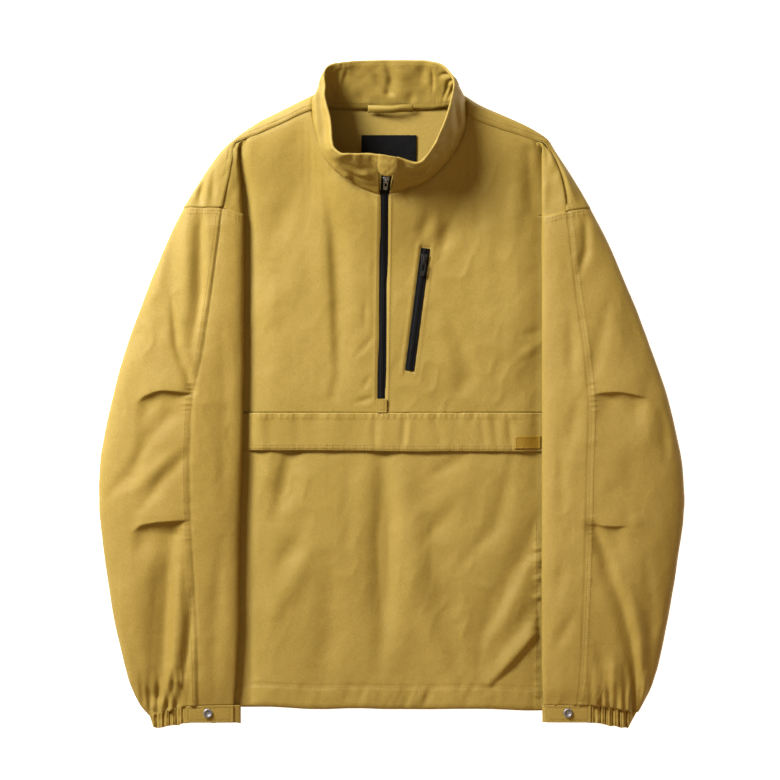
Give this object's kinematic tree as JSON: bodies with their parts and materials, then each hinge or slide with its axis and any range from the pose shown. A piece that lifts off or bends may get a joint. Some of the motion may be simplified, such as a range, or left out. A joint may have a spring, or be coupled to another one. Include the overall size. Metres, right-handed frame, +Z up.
{
  "type": "anorak pullover",
  "caption": "Half-zip anorak pullover laid flat, with a stand collar, dropped shoulders, two-piece tucked sleeves, elastic cuffs and a flapped pouch pocket.",
  "frame": {"origin": "middle of the flat underside, on the surface the garment lies on", "axes": "+Z up from the surface, +Y towards the collar, +X towards the wearer's left sleeve (the viewer's right)"},
  "size_m": [0.6925, 0.7881, 0.0698],
  "materials": {
    "shell": "matt mustard woven cotton and nylon",
    "zip_tape": "black reverse coil zip",
    "zip_plastic": "black",
    "zip_metal": "satin grey",
    "snap_metal": "antique brass",
    "patch": "bare woven patch with an embossed border",
    "label": "bare black woven label"
  },
  "bodies": {
    "root": {"back": "shell", "front_upper": "shell", "front_lower": "shell", "pocket_flap": "shell", "collar": "shell", "zip_garage": "shell", "zip_end_tab": "shell", "hanger_loop": "shell", "sleeve_front_left": "shell", "sleeve_back_left": "shell", "cuff_elastic_left": "shell", "cuff_tab_left": "shell", "sleeve_front_right": "shell", "sleeve_back_right": "shell", "cuff_elastic_right": "shell", "cuff_tab_right": "shell", "zip_tape": "zip_tape", "chest_zip_tape": "zip_tape", "chest_zip_slider": "zip_plastic", "chest_zip_pull": "zip_plastic", "zip_slider": "zip_metal", "zip_pull": "zip_metal", "snap_left": "snap_metal", "snap_right": "snap_metal", "flap_patch": "patch", "neck_label": "label"}
  },
  "joints": []
}
